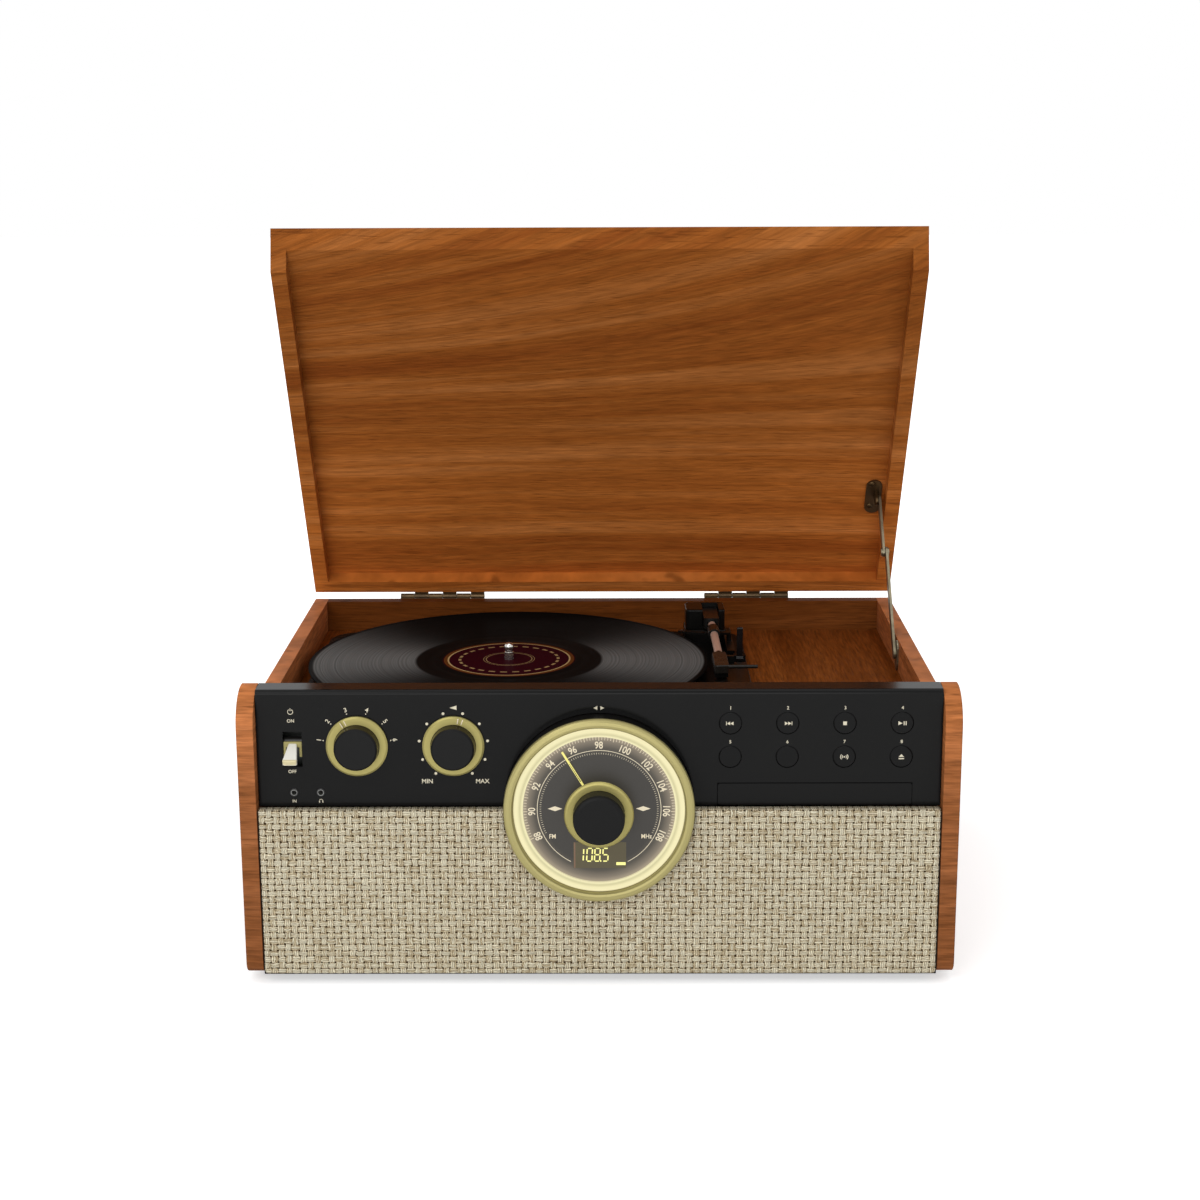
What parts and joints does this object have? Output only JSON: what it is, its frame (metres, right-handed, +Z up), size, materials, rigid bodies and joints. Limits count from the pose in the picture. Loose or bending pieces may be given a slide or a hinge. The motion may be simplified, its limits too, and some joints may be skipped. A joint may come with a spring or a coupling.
{
  "type": "record player music centre",
  "caption": "Wooden music centre with a hinged lid, belt-driven record deck, tonearm, dial radio, disc tray, keys, knobs, lever and cloth grille.",
  "frame": {"origin": "centre of the bounding box at the underside of the feet, with the lid open", "axes": "+X to the right seen from the front, +Y to the back, +Z up"},
  "size_m": [0.478, 0.4224, 0.4924],
  "materials": {
    "cabinet_wood": "satin lacquered veneer",
    "lid_wood": "satin lacquered veneer",
    "raw_board": "bare fibreboard",
    "grille_fabric": "coarse woven tweed",
    "gloss_black": "high gloss",
    "satin_black": "satin",
    "knob_plastic": "black cap on a gold skirt",
    "gold_trim": "gold anodised",
    "dial_print": "translucent, lit from behind",
    "needle": "bright yellow",
    "lever_ivory": "ivory",
    "rubber": "matt",
    "vinyl": "grooved, glossy",
    "bright_steel": "polished",
    "arm_metal": "polished tube",
    "aged_brass": "dull plated",
    "stay_steel": "dull plated",
    "motor_metal": "plain",
    "speaker_parts": "black",
    "circuit_board": "green laminate"
  },
  "bodies": {
    "cabinet": {"side_panel_left": "cabinet_wood", "side_panel_right": "cabinet_wood", "bottom_panel": "raw_board", "back_panel": "cabinet_wood", "front_rail": "cabinet_wood", "deck_board": "cabinet_wood", "feet": "rubber", "baffle_board": "raw_board", "grille_cloth": "grille_fabric", "fascia": "gloss_black", "hinge_box_leaves": "aged_brass", "hinge_pins": "aged_brass", "stay_wall_bracket": "aged_brass", "turntable_plate": "satin_black", "spindle": "bright_steel", "drive_belt": "rubber", "platter_motor": "motor_metal", "tonearm_base": "satin_black", "arm_rest": "satin_black", "dial_drum": "satin_black", "dial_bezel": "gold_trim", "dial_face": "dial_print", "control_board": "circuit_board", "front_jacks": "satin_black", "cd_mechanism": "satin_black", "speakers": "speaker_parts", "main_board": "circuit_board", "terminal_plate": "satin_black"},
    "lid": {"lid_board": "lid_wood", "lid_rails": "lid_wood", "hinge_lid_leaves": "aged_brass", "stay_lid_plate": "aged_brass"},
    "stay_upper": {"stay_upper_arm": "stay_steel"},
    "stay_lower": {"stay_lower_arm": "stay_steel"},
    "platter": {"platter": "satin_black", "slip_mat": "rubber", "record": "vinyl"},
    "pulley": {"motor_pulley": "satin_black"},
    "arm_yoke": {"tonearm_yoke": "satin_black"},
    "arm": {"tonearm": "arm_metal", "headshell": "satin_black", "cartridge": "satin_black"},
    "cue_lever": {"cue_lever": "satin_black"},
    "arm_lifter": {"arm_lifter": "satin_black"},
    "speed_knob": {"speed_knob": "satin_black"},
    "power_lever": {"power_lever": "lever_ivory"},
    "source_knob": {"source_knob": "knob_plastic"},
    "volume_knob": {"volume_knob": "knob_plastic"},
    "tuning": {"tuning_knob": "satin_black", "tuning_ring": "gold_trim", "dial_needle": "needle"},
    "cd_tray": {"cd_tray": "satin_black"},
    "button_back": {"button_back": "gloss_black"},
    "button_next": {"button_next": "gloss_black"},
    "button_stop": {"button_stop": "gloss_black"},
    "button_play": {"button_play": "gloss_black"},
    "button_repeat": {"button_repeat": "gloss_black"},
    "button_random": {"button_random": "gloss_black"},
    "button_link": {"button_link": "gloss_black"},
    "button_eject": {"button_eject": "gloss_black"}
  },
  "joints": [
    {"name": "lid_turn", "type": "hinge", "parent": "cabinet", "child": "lid", "pos_m": [0, 0.19296, 0.1805], "axis": [1, 0, 0], "range_deg": [0, 59.4]},
    {"name": "stay_upper_turn", "type": "hinge", "parent": "lid", "child": "stay_upper", "pos_m": [0.2228, 0.14542, 0.26973], "axis": [1, 0, 0], "range_deg": [0, 74.35]},
    {"name": "stay_lower_turn", "type": "hinge", "parent": "cabinet", "child": "stay_lower", "pos_m": [0.2251, 0.05036, 0.168], "axis": [1, 0, 0], "range_deg": [-36.6, 0]},
    {"name": "platter_turn", "type": "hinge", "parent": "cabinet", "child": "platter", "pos_m": [-0.0694, 0.02366, 0.1717], "axis": [0, 0, -1], "continuous": true},
    {"name": "pulley_turn", "type": "hinge", "parent": "cabinet", "child": "pulley", "pos_m": [-0.13821, -0.02452, 0.1624], "axis": [0, 0, -1], "continuous": true},
    {"name": "arm_swing", "type": "hinge", "parent": "cabinet", "child": "arm_yoke", "pos_m": [0.0866, 0.12436, 0.1624], "axis": [0, 0, -1], "range_deg": [0, 41]},
    {"name": "cue_turn", "type": "hinge", "parent": "cabinet", "child": "cue_lever", "pos_m": [0.106, 0.04436, 0.166], "axis": [1, 0, 0], "range_deg": [0, 60]},
    {"name": "arm_lift", "type": "hinge", "parent": "arm_yoke", "child": "arm", "pos_m": [0.0866, 0.12436, 0.1804], "axis": [-0.9999, -0.0105, 0], "range_deg": [0, 3]},
    {"name": "lifter_slide", "type": "slide", "parent": "cabinet", "child": "arm_lifter", "axis": [0, 0, 1], "range_m": [0, 0.0022]},
    {"name": "speed_slide", "type": "slide", "parent": "cabinet", "child": "speed_knob", "axis": [0, 1, 0], "range_m": [-0.008, 0.008]},
    {"name": "power_turn", "type": "hinge", "parent": "cabinet", "child": "power_lever", "pos_m": [-0.2035, -0.16964, 0.167], "axis": [-1, 0, 0], "range_deg": [0, 46.4]},
    {"name": "source_turn", "type": "hinge", "parent": "cabinet", "child": "source_knob", "pos_m": [-0.16049, -0.17564, 0.166], "axis": [0, 1, 0], "range_deg": [-52.3, 109.7]},
    {"name": "volume_turn", "type": "hinge", "parent": "cabinet", "child": "volume_knob", "pos_m": [-0.0965, -0.17564, 0.166], "axis": [0, 1, 0], "range_deg": [-163.2, 132.8]},
    {"name": "tuning_turn", "type": "hinge", "parent": "cabinet", "child": "tuning", "pos_m": [0, -0.17564, 0.125], "axis": [0, 1, 0], "range_deg": [-83.5, 145.5]},
    {"name": "tray_slide", "type": "slide", "parent": "cabinet", "child": "cd_tray", "axis": [0, -1, 0], "range_m": [0, 0.13]},
    {"name": "back_press", "type": "slide", "parent": "cabinet", "child": "button_back", "axis": [0, 1, 0], "range_m": [0, 0.0015], "stiffness_N_per_m": 800, "springref_m": -0.0005},
    {"name": "next_press", "type": "slide", "parent": "cabinet", "child": "button_next", "axis": [0, 1, 0], "range_m": [0, 0.0015], "stiffness_N_per_m": 800, "springref_m": -0.0005},
    {"name": "stop_press", "type": "slide", "parent": "cabinet", "child": "button_stop", "axis": [0, 1, 0], "range_m": [0, 0.0015], "stiffness_N_per_m": 800, "springref_m": -0.0005},
    {"name": "play_press", "type": "slide", "parent": "cabinet", "child": "button_play", "axis": [0, 1, 0], "range_m": [0, 0.0015], "stiffness_N_per_m": 800, "springref_m": -0.0005},
    {"name": "repeat_press", "type": "slide", "parent": "cabinet", "child": "button_repeat", "axis": [0, 1, 0], "range_m": [0, 0.0015], "stiffness_N_per_m": 800, "springref_m": -0.0005},
    {"name": "random_press", "type": "slide", "parent": "cabinet", "child": "button_random", "axis": [0, 1, 0], "range_m": [0, 0.0015], "stiffness_N_per_m": 800, "springref_m": -0.0005},
    {"name": "link_press", "type": "slide", "parent": "cabinet", "child": "button_link", "axis": [0, 1, 0], "range_m": [0, 0.0015], "stiffness_N_per_m": 800, "springref_m": -0.0005},
    {"name": "eject_press", "type": "slide", "parent": "cabinet", "child": "button_eject", "axis": [0, 1, 0], "range_m": [0, 0.0015], "stiffness_N_per_m": 800, "springref_m": -0.0005}
  ],
  "couplings": [
    {"joint": "stay_upper_turn", "follows": "lid_turn", "ratio": 1.2433},
    {"joint": "stay_lower_turn", "follows": "lid_turn", "ratio": -0.6077},
    {"joint": "pulley_turn", "follows": "platter_turn", "ratio": 10},
    {"joint": "arm_lift", "follows": "cue_turn", "ratio": 0.05},
    {"joint": "lifter_slide", "follows": "cue_turn", "m_per_rad": 0.0021019}
  ]
}
